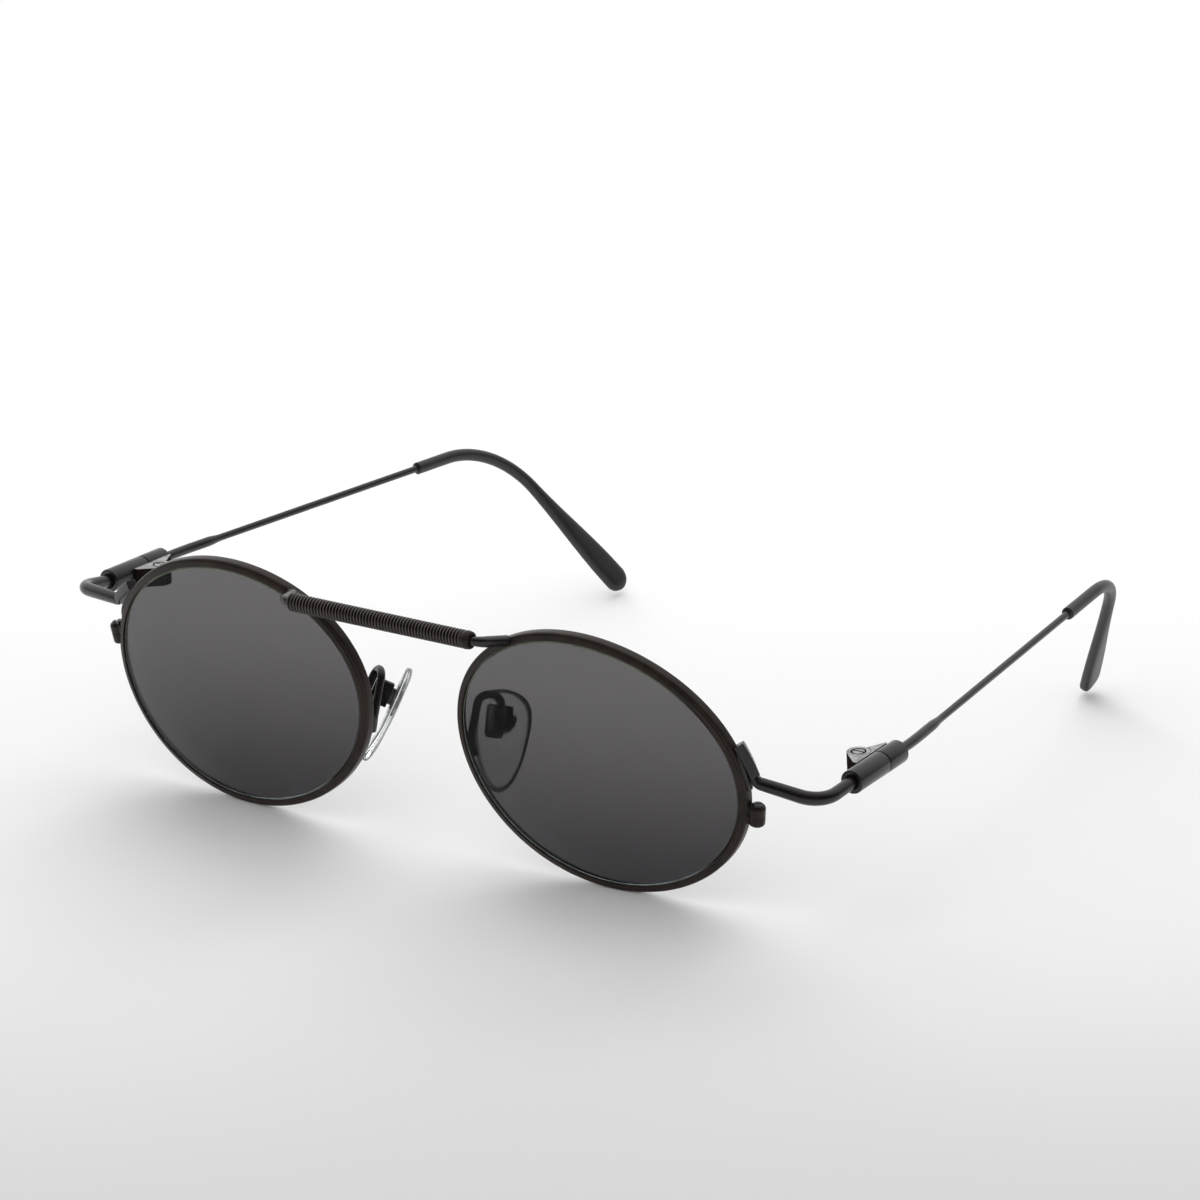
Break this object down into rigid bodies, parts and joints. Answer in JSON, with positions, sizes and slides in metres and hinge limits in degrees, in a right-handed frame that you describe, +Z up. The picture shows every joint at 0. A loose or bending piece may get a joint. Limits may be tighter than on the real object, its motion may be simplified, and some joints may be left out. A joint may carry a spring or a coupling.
{
  "type": "oval wire-rim sunglasses",
  "caption": "Oval wire-rim sunglasses with a wound bridge bar, folding wire temples in tubular hinge sleeves, clear rocking nose pads and moulded ear tips.",
  "frame": {"origin": "middle of the bottom of the whole part's box at rest, on the surface that it stands on", "axes": "+X to the wearer's left, across the front; -Y out of the lenses, so that the temples run back along +Y; +Z up"},
  "size_m": [0.1442, 0.1302, 0.0415],
  "materials": {
    "rim_black": "satin black coating with a brown cast, on rolled nickel-silver channel",
    "wire_black": "satin black coating on drawn wire",
    "sleeve_black": "satin black coating on turned tube",
    "screw_black": "blackened steel, slightly glossy",
    "hinge_nickel": "bright nickel, tumbled edges",
    "lens_grey": "polished neutral grey lens",
    "pad_clear": "clear silicone, smooth",
    "tip_black": "moulded black acetate with a soft sheen"
  },
  "bodies": {
    "front": {"rim_left": "rim_black", "rim_right": "rim_black", "lens_left": "lens_grey", "lens_right": "lens_grey", "lock_upper_left": "rim_black", "lock_upper_right": "rim_black", "lock_lower_left": "rim_black", "lock_lower_right": "rim_black", "lock_screw_left": "screw_black", "lock_screw_right": "screw_black", "bridge_bar": "wire_black", "bridge_coil": "wire_black", "end_piece_left": "wire_black", "end_piece_right": "wire_black", "front_sleeve_left": "sleeve_black", "front_sleeve_right": "sleeve_black", "front_leaf_left": "hinge_nickel", "front_leaf_right": "hinge_nickel", "hinge_screw_left": "hinge_nickel", "hinge_screw_right": "hinge_nickel", "pad_arm_left": "wire_black", "pad_arm_right": "wire_black", "pad_box_left": "screw_black", "pad_box_right": "screw_black", "pad_screw_left": "screw_black", "pad_screw_right": "screw_black"},
    "temple_left": {"rear_leaf_left": "hinge_nickel", "rear_sleeve_left": "sleeve_black", "temple_wire_left": "wire_black", "temple_tip_left": "tip_black"},
    "temple_right": {"rear_leaf_right": "hinge_nickel", "rear_sleeve_right": "sleeve_black", "temple_wire_right": "wire_black", "temple_tip_right": "tip_black"},
    "pad_left": {"nose_pad_left": "pad_clear"},
    "pad_right": {"nose_pad_right": "pad_clear"}
  },
  "joints": [
    {"name": "temple_left_fold", "type": "hinge", "parent": "front", "child": "temple_left", "pos_m": [0.06629, -0.03447, 0.02127], "axis": [0.0018, -0.0669, 0.9978], "range_deg": [0, 83]},
    {"name": "temple_right_fold", "type": "hinge", "parent": "front", "child": "temple_right", "pos_m": [-0.06629, -0.03445, 0.02704], "axis": [0.0004, 0.0151, -0.9999], "range_deg": [0, 73]},
    {"name": "pad_left_rock", "type": "hinge", "parent": "front", "child": "pad_left", "pos_m": [0.01079, -0.04867, 0.02102], "axis": [0.5969, 0.7639, -0.2453], "range_deg": [-8, 8]},
    {"name": "pad_right_rock", "type": "hinge", "parent": "front", "child": "pad_right", "pos_m": [-0.01079, -0.04867, 0.02102], "axis": [-0.5969, 0.7639, -0.2453], "range_deg": [-8, 8]}
  ]
}
